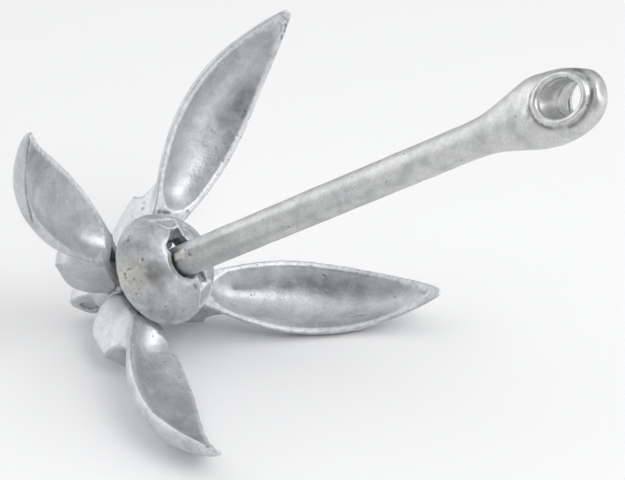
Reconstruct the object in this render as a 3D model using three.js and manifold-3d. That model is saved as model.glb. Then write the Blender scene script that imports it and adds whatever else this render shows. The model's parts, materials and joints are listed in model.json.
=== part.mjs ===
// Four-fluke folding grapnel anchor, hot-dip galvanised, about 325 mm long.
// Millimetres. Each casting is drawn in the anchor's own frame, where +Z runs
// up the shank from the crown to the eye. The last section turns the whole
// anchor to the way it lies on a flat floor: on the backs of two flukes and
// the heel of one of them.

import * as THREE from 'three';
import { mergeVertices } from 'three/addons/utils/BufferGeometryUtils.js';
import Module from 'manifold-3d';

const wasm = await Module();
wasm.setup();

// ---------- driving dimensions ----------

const GAP = 0.35;                  // clearance between parts that meet

const SHANK_RADIUS = 7;            // round bar
const SHANK_FOOT_Z = 46;           // where the bar meets the crown
const SPIGOT_RADIUS = 4.5;         // turned foot of the bar, inside the crown
const SPIGOT_BOTTOM_Z = 14;
const EYE_Z = 299;                 // centre of the rode eye
const EYE_TURN = 21;               // degrees, direction of the eye's bore
const EYE_THROAT = 6.2;            // half width of the bore at mid thickness
const EYE_MOUTH = 7.4;             // half width of the bore at each face
const EYE_MOUTH_DEPTH = 6.6;       // from the bar's axis to each face
const EYE_STRETCH = 1.25;          // the bore is this much longer than wide
const EYE_BEAD = 1.3;              // half thickness of the raised ring
const EYE_TAPER = 12.5;            // degrees, the faces close in to the end

const LOCK_LUG_TURN = -163;        // degrees, side of the bar with the lug
const LOCK_LUG_REACH = 7.7;        // from the bar's axis to the lug's face
const LOCK_LUG_WIDTH = 3.4;
const LOCK_LUG_Z = [71.8, 78.4];   // just above the collar

const HUB_RADIUS = 8;              // crown's round body
const HUB_Z = [11, 45.7];
const CROWN_LUG_THICKNESS = 5.2;
const CROWN_LUG_RADIUS = 8.6;      // round end of each crown lug
const TAB_THICKNESS = 7;           // flat tab with the trip-line hole
const TAB_WIDTH = 17.2;
const TAB_BOTTOM_Z = -7.4;
const TRIP_HOLE_RADIUS = 3.8;

const PIN_RADIUS = 3;
const PIN_REACH = 21;              // pivot's distance from the bar's axis
const PIN_Z = 29.3;
const FORK_THICKNESS = 15.4;       // over both cheeks of a fluke's root
const FORK_SLOT = 6.8;             // gap between the cheeks
const ROOT_RADIUS = 11.8;          // round end of a fluke's root
const ROOT_CENTRE = [-0.6, 1.2];   // its centre, from the pivot
const HEEL = [14, -11.5];          // outer corner of the root, from the pivot

const COLLAR_RADIUS = 24.6;
const COLLAR_CENTRE_Z = 49;        // centre of the dome's sphere
const COLLAR_RIM_Z = 53;
const COLLAR_TOP_Z = 71.2;
const COLLAR_HOLE_RADIUS = 8.2;
const COLLAR_WALL = 5.6;
// The keyway: a slot right through the roof at one side of the hole, and a
// channel to the dome's side on both sides.
const COLLAR_SLOT_TURN = 144;      // degrees
const COLLAR_SLOT_WIDTH = 10.8;
const COLLAR_SLOT_REACH = 11.4;
const COLLAR_CHANNEL_TURNS = [122, -38];
const COLLAR_CHANNEL_WIDTH = 6;
const COLLAR_CHANNEL_DEPTH = 4.6;
const COLLAR_ROOF = 4.4;           // metal left under each channel

// Each fluke in degrees: its direction round the crown, how far it leans from
// the shank, and how far it sways to one side. The lugs are cast a little off
// square and the forks are loose on them, so no two flukes stand alike.
const FLUKES = [
  { name: 'fluke_1', turn: 88.6, lean: 43.6, sway: 0.4 },
  { name: 'fluke_2', turn: 1.5, lean: 37.4, sway: 2.7 },
  { name: 'fluke_3', turn: 268.4, lean: 40, sway: -1.8 },
  { name: 'fluke_4', turn: 179.5, lean: 46, sway: 0.7 },
];

// The spoon, from its root to its tip. `along` is the distance from the pivot.
// `half` is half the width over the rim, `rim` is the height of the rim above
// the line from pivot to tip, and `deep` is how far the back lies below it.
const SPOON = [
  { along: 17, half: 7.2, rim: 12, deep: 8.4 },
  { along: 25, half: 9.7, rim: 9.8, deep: 10.2 },
  { along: 37.5, half: 13.6, rim: 5.5, deep: 11.3 },
  { along: 53, half: 16.4, rim: 0.3, deep: 11.4 },
  { along: 69, half: 16.1, rim: -4.1, deep: 10.4 },
  { along: 84.5, half: 13.7, rim: -6, deep: 8.8 },
  { along: 100, half: 9.6, rim: -4.5, deep: 6.4 },
  { along: 112.5, half: 5.2, rim: -1.9, deep: 4.2 },
  { along: 120.5, half: 1.6, rim: 0.2, deep: 2.2 },
];
const SPOON_WALL = 4.4;            // metal left under the hollow
const SPOON_RIM = 2.9;             // width of the flat rim
const HOLLOW_ALONG = [20.5, 115];  // where the hollow begins and ends
const HOLLOW_ROUND = [8, 15];      // length of its round ends

const SHANK_RISE = 30.6;           // degrees, the shank's climb from the floor
const ROLL = 43;                   // degrees, which flukes lie underneath

// ---------- materials ----------

function zinc(colour, roughness, metalness) {
  return new THREE.MeshStandardMaterial({ color: colour, roughness, metalness });
}

const ZINC = {
  bar: () => zinc('#b3b6b4', 0.45, 0.75),
  crown: () => zinc('#b9bab8', 0.55, 0.7),
  fluke: () => zinc('#bcbdbf', 0.52, 0.7),
  collar: () => zinc('#b7bbbd', 0.48, 0.72),
  pin: () => zinc('#a9abaa', 0.55, 0.7),
};

// ---------- solids ----------

const degrees = THREE.MathUtils.degToRad;

function solid(geometry) {
  const bare = geometry.clone();
  bare.deleteAttribute('normal');
  bare.deleteAttribute('uv');
  const merged = mergeVertices(bare, 1e-4);
  return new wasm.Manifold(new wasm.Mesh({
    numProp: 3,
    vertProperties: new Float32Array(merged.attributes.position.array),
    triVerts: new Uint32Array(merged.index.array),
  }));
}

function geometryOf(body) {
  const mesh = body.getMesh();
  const geometry = new THREE.BufferGeometry();
  geometry.setAttribute('position', new THREE.BufferAttribute(mesh.vertProperties, 3));
  geometry.setIndex(new THREE.BufferAttribute(mesh.triVerts, 1));
  geometry.computeVertexNormals();
  return geometry;
}

function place(geometry, move) {
  const holder = new THREE.Object3D();
  holder.rotation.order = 'ZYX';
  const turn = move.turn ?? [0, 0, 0];
  holder.rotation.set(degrees(turn[0]), degrees(turn[1]), degrees(turn[2]));
  holder.position.set(...(move.at ?? [0, 0, 0]));
  holder.updateMatrix();
  return geometry.clone().applyMatrix4(holder.matrix);
}

// A turned shape: `profile` is a list of [radius, z], first and last on the axis.
function turned(profile, segments) {
  const points = profile.map(([radius, z]) => new THREE.Vector2(radius, z));
  return new THREE.LatheGeometry(points, segments).rotateX(Math.PI / 2);
}

// A rod along Y, centred on [x, z].
function rodAlongY(radius, length, x, z, segments = 28) {
  return new THREE.CylinderGeometry(radius, radius, length, segments).translate(x, 0, z);
}

// A flat plate lying in the XZ plane, centred on Y = 0.
function plateXZ(shape, thickness, curveSegments = 10) {
  const plate = new THREE.ExtrudeGeometry(shape, { depth: thickness, bevelEnabled: false, curveSegments });
  return plate.translate(0, 0, -thickness / 2).rotateX(Math.PI / 2);
}

// A skin through rings of points with equal counts, closed by flat ends.
function loft(rings) {
  const count = rings[0].length;
  const positions = rings.flat().flatMap((point) => point.toArray());
  const index = [];
  for (let ring = 0; ring < rings.length - 1; ring += 1) {
    for (let step = 0; step < count; step += 1) {
      const a = ring * count + step;
      const b = ring * count + (step + 1) % count;
      index.push(a, b, b + count, a, b + count, a + count);
    }
  }
  const last = (rings.length - 1) * count;
  for (let step = 1; step < count - 1; step += 1) {
    index.push(0, step + 1, step);
    index.push(last, last + step, last + step + 1);
  }
  const geometry = new THREE.BufferGeometry();
  geometry.setAttribute('position', new THREE.Float32BufferAttribute(positions, 3));
  geometry.setIndex(index);
  return geometry;
}

// ---------- shank with its eye ----------

// Half width across the bore, the offset of its middle, and half thickness
// along the bore, up the bar. The eye is forged a little to one side.
const EYE_SHAPE = [
  { z: 246, half: 7, offset: 0, thick: 7 },
  { z: 258, half: 7.9, offset: 0, thick: 7.4 },
  { z: 270, half: 10.6, offset: 0.1, thick: 8.6 },
  { z: 281, half: 13.4, offset: 0.2, thick: 9.2 },
  { z: 290, half: 13.8, offset: -0.5, thick: 8.4 },
  { z: 298.5, half: 13, offset: -1.1, thick: 6.9 },
  { z: 306, half: 10.9, offset: -1.4, thick: 5.4 },
  { z: 311, half: 8.3, offset: -1.1, thick: 4.3 },
  { z: 314, half: 4.5, offset: -0.7, thick: 2.8 },
];

function smooth(table, key, along, at) {
  const curve = new THREE.SplineCurve(table.map((row) => new THREE.Vector2(row[along], row[key])));
  let low = 0;
  let high = 1;
  for (let pass = 0; pass < 40; pass += 1) {
    const middle = (low + high) / 2;
    if (curve.getPoint(middle).x < at) low = middle;
    else high = middle;
  }
  return curve.getPoint(low).y;
}

function oval(section, segments) {
  const ring = [];
  for (let step = 0; step < segments; step += 1) {
    const angle = (step / segments) * Math.PI * 2;
    const across = section.offset + section.half * Math.sin(angle);
    ring.push(new THREE.Vector3(section.thick * Math.cos(angle), across, section.z));
  }
  return ring;
}

function eyeSection(z) {
  return {
    z,
    half: smooth(EYE_SHAPE, 'half', 'z', z),
    offset: smooth(EYE_SHAPE, 'offset', 'z', z),
    thick: smooth(EYE_SHAPE, 'thick', 'z', z),
  };
}

function shankGeometry() {
  const segments = 36;
  const steps = 20;
  const foot = { z: SHANK_FOOT_Z, half: SHANK_RADIUS, offset: 0, thick: SHANK_RADIUS };
  const rings = [oval(foot, segments)];
  const first = EYE_SHAPE[0].z;
  const end = EYE_SHAPE.at(-1).z;
  for (let step = 0; step <= steps; step += 1) {
    const z = first + (end - first) * Math.sin((step / steps) * Math.PI / 2);
    rings.push(oval(eyeSection(z), segments));
  }
  let body = solid(loft(rings));
  body = body.subtract(solid(place(eyeBoreGeometry(), { turn: [0, 90, 0], at: [0, 0, EYE_Z] })));
  for (const side of [1, -1]) {
    const bead = new THREE.TorusGeometry(EYE_MOUTH + EYE_BEAD * 0.8, EYE_BEAD, 8, 36);
    bead.scale(EYE_STRETCH, 1, 1);
    const move = { turn: [0, side * (90 - EYE_TAPER), 0], at: [side * EYE_MOUTH_DEPTH, 0, EYE_Z] };
    body = body.add(solid(place(bead, move)));
  }
  const geometry = place(geometryOf(body), { turn: [0, 0, EYE_TURN] });
  return geometryOf(solid(geometry).add(solid(spigotGeometry())).add(solid(lockLugGeometry())));
}

// The bore narrows to a throat at mid thickness and flares to both faces.
function eyeBoreGeometry() {
  const reach = EYE_MOUTH_DEPTH + 8;
  const profile = [[0, -reach], [EYE_MOUTH + 4, -reach]];
  const steps = 4;
  for (let step = -steps; step <= steps; step += 1) {
    const share = step / steps;
    profile.push([EYE_THROAT + (EYE_MOUTH - EYE_THROAT) * share * share, share * EYE_MOUTH_DEPTH]);
  }
  profile.push([EYE_MOUTH + 4, reach], [0, reach]);
  return turned(profile, 32).scale(EYE_STRETCH, 1, 1);
}

function spigotGeometry() {
  return turned([
    [0, SPIGOT_BOTTOM_Z],
    [SPIGOT_RADIUS, SPIGOT_BOTTOM_Z],
    [SPIGOT_RADIUS, SHANK_FOOT_Z + 1],
    [0, SHANK_FOOT_Z + 1],
  ], 24);
}

// The lock lug: a low flat pad on the bar, chamfered at its upper end.
function lockLugGeometry() {
  const [bottom, top] = LOCK_LUG_Z;
  const rise = LOCK_LUG_REACH - SHANK_RADIUS + 1;
  const shape = new THREE.Shape();
  shape.moveTo(3, bottom);
  shape.lineTo(LOCK_LUG_REACH, bottom);
  shape.lineTo(LOCK_LUG_REACH, top - rise);
  shape.lineTo(LOCK_LUG_REACH - rise, top);
  shape.lineTo(3, top);
  return place(plateXZ(shape, LOCK_LUG_WIDTH), { turn: [0, 0, LOCK_LUG_TURN] });
}

// ---------- crown ----------

function crownLugGeometry() {
  const shape = new THREE.Shape();
  shape.moveTo(HUB_RADIUS - 3, PIN_Z + CROWN_LUG_RADIUS);
  shape.lineTo(HUB_RADIUS - 3, PIN_Z - CROWN_LUG_RADIUS);
  shape.lineTo(PIN_REACH, PIN_Z - CROWN_LUG_RADIUS);
  shape.absarc(PIN_REACH, PIN_Z, CROWN_LUG_RADIUS, -Math.PI / 2, Math.PI / 2, false);
  return plateXZ(shape, CROWN_LUG_THICKNESS);
}

function tabGeometry() {
  const half = TAB_WIDTH / 2;
  const shape = new THREE.Shape();
  shape.moveTo(-HUB_RADIUS + 1, HUB_Z[0] + 4);
  shape.lineTo(-half, 2);
  shape.bezierCurveTo(-half, -6, -5.5, TAB_BOTTOM_Z, 0, TAB_BOTTOM_Z);
  shape.bezierCurveTo(5.5, TAB_BOTTOM_Z, half, -6, half, 2);
  shape.lineTo(HUB_RADIUS - 1, HUB_Z[0] + 4);
  return plateXZ(shape, TAB_THICKNESS);
}

function crownGeometry() {
  const [bottom, top] = HUB_Z;
  let body = solid(turned([
    [0, bottom], [HUB_RADIUS - 3.5, bottom], [HUB_RADIUS, bottom + 4],
    [HUB_RADIUS, top - 1.5], [HUB_RADIUS - 1.5, top], [0, top],
  ], 32));
  for (const fluke of FLUKES) {
    const lug = solid(place(crownLugGeometry(), { turn: [0, 0, fluke.turn] }));
    body = body.add(lug);
  }
  body = body.add(solid(tabGeometry()));
  for (const fluke of FLUKES) {
    const bore = rodAlongY(PIN_RADIUS + GAP, CROWN_LUG_THICKNESS + 4, PIN_REACH, PIN_Z);
    body = body.subtract(solid(place(bore, { turn: [0, 0, fluke.turn] })));
  }
  const socket = turned([
    [0, SPIGOT_BOTTOM_Z - GAP], [SPIGOT_RADIUS + GAP, SPIGOT_BOTTOM_Z - GAP],
    [SPIGOT_RADIUS + GAP, top + 2], [0, top + 2],
  ], 24);
  body = body.subtract(solid(socket));
  const tripHole = rodAlongY(TRIP_HOLE_RADIUS, TAB_THICKNESS + 4, 0, 0);
  return geometryOf(body.subtract(solid(tripHole)));
}

// ---------- flukes ----------
// A fluke is drawn with its pivot at the origin, X along the line from pivot
// to tip, Y along the pin and +Z towards the shank, which its hollow faces.

function spoonSection(along) {
  return {
    along,
    half: smooth(SPOON, 'half', 'along', along),
    rim: smooth(SPOON, 'rim', 'along', along),
    deep: smooth(SPOON, 'deep', 'along', along),
  };
}

function spoonRing(section, segments) {
  const ring = [];
  for (let step = 0; step <= segments; step += 1) {
    const angle = (step / segments) * Math.PI;
    const across = -section.half * Math.cos(angle);
    const down = section.deep * Math.sin(angle) ** 0.85;
    ring.push(new THREE.Vector3(section.along, across, section.rim - down));
  }
  return ring;
}

function spoonGeometry() {
  const rings = [];
  const steps = 26;
  const start = SPOON[0].along;
  const end = SPOON.at(-1).along;
  for (let step = 0; step <= steps; step += 1) {
    rings.push(spoonRing(spoonSection(start + (end - start) * (step / steps)), 14));
  }
  return loft(rings);
}

function hollowGeometry() {
  const rings = [];
  const steps = 24;
  const [start, end] = HOLLOW_ALONG;
  for (let step = 0; step <= steps; step += 1) {
    const along = start + (end - start) * (1 - Math.cos(Math.PI * (step / steps))) / 2;
    const into = Math.min(1, (along - start) / HOLLOW_ROUND[0], (end - along) / HOLLOW_ROUND[1]);
    const round = Math.sqrt(Math.max(0.02, 1 - (1 - into) ** 2));
    const section = spoonSection(along);
    const half = Math.max(0.4, (section.half - SPOON_RIM) * round);
    const deep = Math.max(0.4, (section.deep - SPOON_WALL) * round);
    const ring = [];
    for (let turn = 0; turn <= 12; turn += 1) {
      const angle = (turn / 12) * Math.PI;
      const down = deep * Math.sin(angle) ** 0.9;
      ring.push(new THREE.Vector3(section.along, -half * Math.cos(angle), section.rim - down));
    }
    ring.push(new THREE.Vector3(section.along, half + 0.6, section.rim + 4));
    ring.push(new THREE.Vector3(section.along, -half - 0.6, section.rim + 4));
    rings.push(ring);
  }
  return loft(rings);
}

function rootShape() {
  const shape = new THREE.Shape();
  shape.absarc(ROOT_CENTRE[0], ROOT_CENTRE[1], ROOT_RADIUS, Math.PI * 0.42, Math.PI * 1.47, false);
  shape.lineTo(...HEEL);
  shape.quadraticCurveTo(HEEL[0] + 2.5, HEEL[1] + 9, HEEL[0] + 15, HEEL[1] + 10);
  shape.lineTo(32, 5);
  shape.lineTo(SPOON[0].along, SPOON[0].rim);
  shape.lineTo(9, 12.2);
  return shape;
}

function slotShape() {
  const shape = new THREE.Shape();
  shape.moveTo(-ROOT_RADIUS - 3, -ROOT_RADIUS - 3);
  shape.lineTo(10.5, -ROOT_RADIUS - 3);
  shape.lineTo(15.5, 20);
  shape.lineTo(-ROOT_RADIUS - 3, 20);
  return shape;
}

function flukeGeometry() {
  let body = solid(spoonGeometry());
  body = body.add(solid(plateXZ(rootShape(), FORK_THICKNESS, 12)));
  body = body.subtract(solid(hollowGeometry()));
  body = body.subtract(solid(plateXZ(slotShape(), FORK_SLOT)));
  const bore = rodAlongY(PIN_RADIUS + GAP, FORK_THICKNESS + 4, 0, 0);
  return geometryOf(body.subtract(solid(bore)));
}

function pinGeometry() {
  return rodAlongY(PIN_RADIUS, FORK_THICKNESS - 0.4, 0, 0, 24);
}

// ---------- sliding lock collar ----------

function domeRadius(z, radius) {
  return Math.sqrt(radius * radius - (z - COLLAR_CENTRE_Z) ** 2);
}

function collarGeometry() {
  const outer = [[0, COLLAR_RIM_Z], [COLLAR_RADIUS - 0.6, COLLAR_RIM_Z]];
  const steps = 14;
  for (let step = 0; step <= steps; step += 1) {
    const from = COLLAR_RIM_Z + 0.8;
    const z = from + (COLLAR_TOP_Z - from) * Math.sin((step / steps) * Math.PI / 2);
    outer.push([domeRadius(z, COLLAR_RADIUS), z]);
  }
  outer.push([0, COLLAR_TOP_Z]);
  let body = solid(turned(outer, 48));
  const innerRadius = COLLAR_RADIUS - COLLAR_WALL;
  const roof = COLLAR_TOP_Z - COLLAR_CHANNEL_DEPTH - COLLAR_ROOF;
  const inner = [[0, COLLAR_RIM_Z - 2], [domeRadius(COLLAR_RIM_Z - 2, innerRadius), COLLAR_RIM_Z - 2]];
  for (let step = 0; step <= 6; step += 1) {
    const z = COLLAR_RIM_Z + (roof - COLLAR_RIM_Z) * (step / 6);
    inner.push([domeRadius(z, innerRadius), z]);
  }
  inner.push([0, roof]);
  body = body.subtract(solid(turned(inner, 40)));
  const hole = turned([
    [0, COLLAR_RIM_Z], [COLLAR_HOLE_RADIUS, COLLAR_RIM_Z],
    [COLLAR_HOLE_RADIUS, COLLAR_TOP_Z + 2], [0, COLLAR_TOP_Z + 2],
  ], 36);
  body = body.subtract(solid(hole));
  const slot = new THREE.BoxGeometry(COLLAR_SLOT_REACH, COLLAR_SLOT_WIDTH, 2 * COLLAR_RADIUS);
  body = body.subtract(solid(outFromAxis(slot, COLLAR_SLOT_REACH, COLLAR_SLOT_TURN, COLLAR_TOP_Z)));
  for (const turn of COLLAR_CHANNEL_TURNS) {
    const box = new THREE.BoxGeometry(2 * COLLAR_RADIUS, COLLAR_CHANNEL_WIDTH, 2 * COLLAR_CHANNEL_DEPTH);
    body = body.subtract(solid(outFromAxis(box, 2 * COLLAR_RADIUS, turn, COLLAR_TOP_Z)));
  }
  return geometryOf(body);
}

// A box that starts at the shank's axis and runs out in one direction.
function outFromAxis(box, length, turn, z) {
  return place(box.translate(length / 2, 0, 0), { turn: [0, 0, turn], at: [0, 0, z] });
}

// ---------- assembly, in the anchor's own frame ----------

function named(name, geometry, material) {
  const mesh = new THREE.Mesh(geometry, material);
  mesh.name = name;
  return mesh;
}

const anchor = new THREE.Group();
anchor.add(named('shank', shankGeometry(), ZINC.bar()));
anchor.add(named('crown', crownGeometry(), ZINC.crown()));
anchor.add(named('lock_collar', collarGeometry(), ZINC.collar()));

for (const fluke of FLUKES) {
  const direction = new THREE.Group();
  direction.rotation.z = degrees(fluke.turn);
  const pivot = new THREE.Group();
  pivot.position.set(PIN_REACH, 0, PIN_Z);
  pivot.rotation.order = 'ZYX';
  pivot.rotation.set(0, degrees(fluke.lean - 90), degrees(fluke.sway));
  pivot.add(named(fluke.name, flukeGeometry(), ZINC.fluke()));
  pivot.add(named(fluke.name.replace('fluke', 'pivot_pin'), pinGeometry(), ZINC.pin()));
  direction.add(pivot);
  anchor.add(direction);
}

// ---------- lying on the floor, box centred over the origin ----------

const lying = new THREE.Group();
anchor.rotation.set(0, degrees(90 - SHANK_RISE), degrees(ROLL));
lying.add(anchor);
lying.updateMatrixWorld(true);
const box = new THREE.Box3().setFromObject(lying, true);
const middle = box.getCenter(new THREE.Vector3());
anchor.position.set(-middle.x, -middle.y, -box.min.z);

export default lying;
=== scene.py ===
"""Galvanised folding grapnel anchor: the looks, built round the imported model.

Each casting is one smooth solid, described by a field of distances in
millimetres: negative in the metal, positive outside. A skin of quads is drawn
where the field is zero, then moved onto a rougher field that adds the waves,
lumps and pits of hot-dip zinc.
"""

import itertools
import json
import math

import bpy
import numpy as np
from mathutils import Euler, Matrix, Vector


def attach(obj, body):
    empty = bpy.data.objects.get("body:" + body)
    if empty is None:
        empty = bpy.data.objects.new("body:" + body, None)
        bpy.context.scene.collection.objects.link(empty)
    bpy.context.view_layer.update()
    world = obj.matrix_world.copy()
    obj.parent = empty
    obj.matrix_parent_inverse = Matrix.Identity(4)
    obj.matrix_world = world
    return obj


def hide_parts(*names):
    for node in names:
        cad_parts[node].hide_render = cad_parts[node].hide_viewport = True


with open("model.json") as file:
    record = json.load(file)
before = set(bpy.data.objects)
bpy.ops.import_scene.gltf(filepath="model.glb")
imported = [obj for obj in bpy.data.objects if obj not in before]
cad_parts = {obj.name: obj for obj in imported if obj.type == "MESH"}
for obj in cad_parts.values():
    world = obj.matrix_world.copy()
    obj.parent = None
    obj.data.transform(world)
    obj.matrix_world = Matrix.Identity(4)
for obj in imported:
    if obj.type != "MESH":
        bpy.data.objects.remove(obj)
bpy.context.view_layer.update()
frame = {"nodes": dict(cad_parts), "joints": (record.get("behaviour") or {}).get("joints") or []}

MM = 0.001

# ---------- driving dimensions, in millimetres ----------
#
# In the anchor's own frame, Z runs up the shank from the trip hole, and a turn
# is in degrees round the shank. The values are the CAD's, except those that
# are said to be the skin's own.

SHANK_RADIUS = 7
SHANK_FOOT_Z = 46  # where the bar meets the crown
SPIGOT_RADIUS = 4.5  # the bar's turned foot, inside the crown
SPIGOT_BOTTOM_Z = 14
EYE_Z = 299  # centre of the rode eye
EYE_TURN = 21  # direction of the eye's bore
EYE_THROAT = 6.2  # half width of the bore in the middle
EYE_MOUTH = 7.4  # and at each face
EYE_MOUTH_DEPTH = 6.6  # from the bar's axis to each face
EYE_STRETCH = 1.25  # the bore is this much longer than wide
EYE_BEAD = 1.3  # half thickness of the raised ring round each mouth
BEAD_SEAT = 0.8  # share of that from a mouth's edge to the ring's centre line
EYE_TAPER = 12.5  # degrees, the faces close in to the end
EYE_SHAPE = {
    "z": (246, 258, 270, 281, 290, 298.5, 306, 311, 314),
    "half": (7, 7.9, 10.6, 13.4, 13.8, 13, 10.9, 8.3, 4.5),
    "offset": (0, 0, 0.1, 0.2, -0.5, -1.1, -1.4, -1.1, -0.7),
    "thick": (7, 7.4, 8.6, 9.2, 8.4, 6.9, 5.4, 4.3, 2.8),
}

# The skin's own: a groove round each ring, from the ring's centre line.
EYE_GROOVE_OUT = 2.6
EYE_GROOVE_UP = 0.6
EYE_GROOVE_RADIUS = 1.0

LOCK_LUG_TURN = -163  # side of the bar with the lug
LOCK_LUG_REACH = 7.7  # from the bar's axis to the lug's face
LOCK_LUG_WIDTH = 3.4
LOCK_LUG_Z = (71.8, 78.4)

HUB_RADIUS = 8  # the crown's round body
HUB_Z = (11, 45.7)
CROWN_LUG_THICKNESS = 5.2
CROWN_LUG_RADIUS = 8.6  # round end of each crown lug
TAB_THICKNESS = 7  # the flat tab with the trip hole
TAB_WIDTH = 17.2
TAB_BOTTOM_Z = -7.4
TRIP_HOLE_RADIUS = 3.8

PIN_RADIUS = 3
PIN_GAP = 0.35
PIN_REACH = 21  # pivot's distance from the bar's axis
PIN_Z = 29.3
FORK_THICKNESS = 15.4  # over both cheeks of a fluke's root
FORK_SLOT = 6.8  # gap between the cheeks
ROOT_RADIUS = 11.8  # round end of a fluke's root
ROOT_CENTRE = (-0.6, 1.2)  # its centre, from the pivot
HEEL = (14, -11.5)  # outer corner of the root, from the pivot

COLLAR_RADIUS = 24.6
COLLAR_CENTRE_Z = 49  # centre of the dome's sphere
COLLAR_RIM_Z = 53
COLLAR_TOP_Z = 71.2
COLLAR_HOLE_RADIUS = 8.2
COLLAR_WALL = 5.6

# The rest of the collar is the skin's own: the hollow's flat roof, a lip that
# stands in from the hole's wall, and a notch in the wall, seen from above.
COLLAR_ROOF_Z = 62.2
COLLAR_LIP_RADIUS = 7.12
COLLAR_LIP_Z = 64.4
COLLAR_LIP_X = -4.2
COLLAR_NOTCH = ((0, -3), (-7.5, -0.6), (-10.2, 0.7), (-11.1, 3.2), (-10.6, 4.6), (-3.6, 9.3), (3, 6))

# The keyway, seen from above: at two sides a channel, whose floor rises
# outwards to a flat facet on the sphere. `turn` and `rise` are the facet's
# direction in degrees, and `slope` is the channel floor's.
KEYWAYS = (
    {"channel": ((-10.8, 3.6), (-9.3, 10.6), (-9, 18), (-5.3, 18), (-5.5, 14.3), (-3.9, 9.3), (-3.3, 7.5)),
     "facet": ((-9.3, 10.6), (-15.4, 14.85), (-13, 15.6), (-5.1, 18.3), (-5.5, 12)),
     "turn": 122.7, "rise": 40.4, "slope": 0.65},
    {"channel": ((4.3, -4.1), (13, -12.5), (19, -3.9), (12.3, -5.1), (9.3, -2.4), (6, 0.5)),
     "facet": ((8, -7.7), (17, -16.3), (24, -8), (22, 0), (12.3, -4.8)),
     "turn": -31, "rise": 43.4, "slope": 0.12},
)
FACET_REACH = 23.95  # from the sphere's centre to each facet
FACET_SLANT = 0.23  # how steeply a facet leaves the sphere, as a slope
CREST_OUT = 14.5  # where a channel's floor meets its facet
CREST_Z = 68.7
# The keyway's edges are raised, and their painted highlight is this wide.
EDGE_WIDTH = 0.5  # of the bright edges of the keyway

# The flat ring round the hole droops on the side away from fluke 2, and zinc
# has gathered along its outer edge there.
DROOP_TURN = 165
DROOP_SLOPE = 0.36
DROOP_OUT = 9.54
RING_TURN = 191
RING_SPREAD = 0.72  # cosine of how far round it goes to each side
RING_FADE = 0.12
RING_WIDTH = 0.5
RING_SLANT = 0.3  # how steeply the ring leaves the dome, as a slope

# Patches on the dome: a centre and a size each.
ROUGH_PATCH = (-18.5, -11, 60)
ROUGH_PATCH_SIZE = 9
DARK_PATCH = (-11, -9.5, 68.5)
DARK_PATCH_SIZE = 6.5
WORN_PATCH = (-1, 15, 68)
WORN_PATCH_SIZE = 6

# Degrees: direction round the crown, lean from the shank, sway to one side.
FLUKES = {
    1: {"turn": 88.6, "lean": 43.6, "sway": 0.4},
    2: {"turn": 1.5, "lean": 37.4, "sway": 2.7},
    3: {"turn": 268.4, "lean": 40, "sway": -1.8},
    4: {"turn": 179.5, "lean": 46, "sway": 0.7},
}

# A spoon's sections along a fluke: half width, height of the rim and depth.
SPOON = {
    "along": (17, 25, 37.5, 53, 69, 84.5, 100, 112.5, 120.5),
    "half": (7.2, 9.7, 13.6, 16.4, 16.1, 13.7, 9.6, 5.2, 1.6),
    "rim": (12, 9.8, 5.5, 0.3, -4.1, -6, -4.5, -1.9, 0.2),
    "deep": (8.4, 10.2, 11.3, 11.4, 10.4, 8.8, 6.4, 4.2, 2.2),
}

SPOON_FULLNESS = 0.85  # power that makes a section fuller than an ellipse

# The skin's own: the hollow is a trough, a little larger than the CAD's.
SPOON_WALL = 4  # metal left under it
SPOON_RIM = 2.5  # width of the flat rim
HOLLOW_ALONG = (22, 114)  # where it begins and ends
HOLLOW_ROUND = (8, 16)  # length of its round ends
LEAST_HOLLOW = 0.4  # half width and depth at the very ends

SHANK_RISE = 30.6  # degrees, the shank's climb from the floor
ROLL = 43  # degrees, which flukes lie underneath

# Steps of the grid that each skin is drawn on.
FLUKE_STEP = 0.6
CROWN_STEP = 0.55
SHANK_STEP = 0.6
COLLAR_STEP = 0.36

# How far the zinc's skin is kept inside the outline.
INSET = 0.1
BAR_INSET = 0.06


# ---------- places, from the frame ----------

def turned(y=0, z=0):
    """A turn about Y and then about Z, in degrees."""
    return Euler((0, math.radians(y), math.radians(z))).to_matrix().to_4x4()


def pivot_place(fluke):
    """A fluke's own frame in the anchor's: X from pivot to tip, Y along the pin."""
    out = turned(z=fluke["turn"]) @ Matrix.Translation((PIN_REACH, 0, PIN_Z))
    return out @ turned(z=fluke["sway"]) @ turned(y=fluke["lean"] - 90)


def anchor_place():
    """The anchor's own frame, +Z up the shank, in millimetres in the row frame."""
    attitude = turned(y=90 - SHANK_RISE) @ turned(z=ROLL)
    joint = next(j for j in frame["joints"] if j["name"] == "fluke_2_fold")
    pivot = attitude @ pivot_place(FLUKES[2]).to_translation()
    origin = Vector(joint["pos_m"]) / MM - pivot
    return Matrix.Translation(origin) @ attitude


ANCHOR = anchor_place()


# ---------- fields ----------

def round_both(a, b, radius):
    """Where both a and b hold, with the shared edge rounded."""
    corner = np.hypot(np.maximum(a + radius, 0), np.maximum(b + radius, 0))
    return np.minimum(-radius, np.maximum(a, b)) + corner


def round_either(a, b, radius):
    """Where a or b holds, with a fillet between them."""
    return -round_both(-a, -b, radius)


def cut(a, b, radius):
    """a with b taken away, with the edge rounded."""
    return round_both(a, -b, radius)


def facing(x, y, turn):
    """Distances along a direction from the shank's axis, and to its left."""
    c, s = math.cos(math.radians(turn)), math.sin(math.radians(turn))
    return c * x + s * y, c * y - s * x


def slab(value, low, high):
    """Distance to the space between two planes, negative between them."""
    return np.maximum(low - value, value - high)


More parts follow.
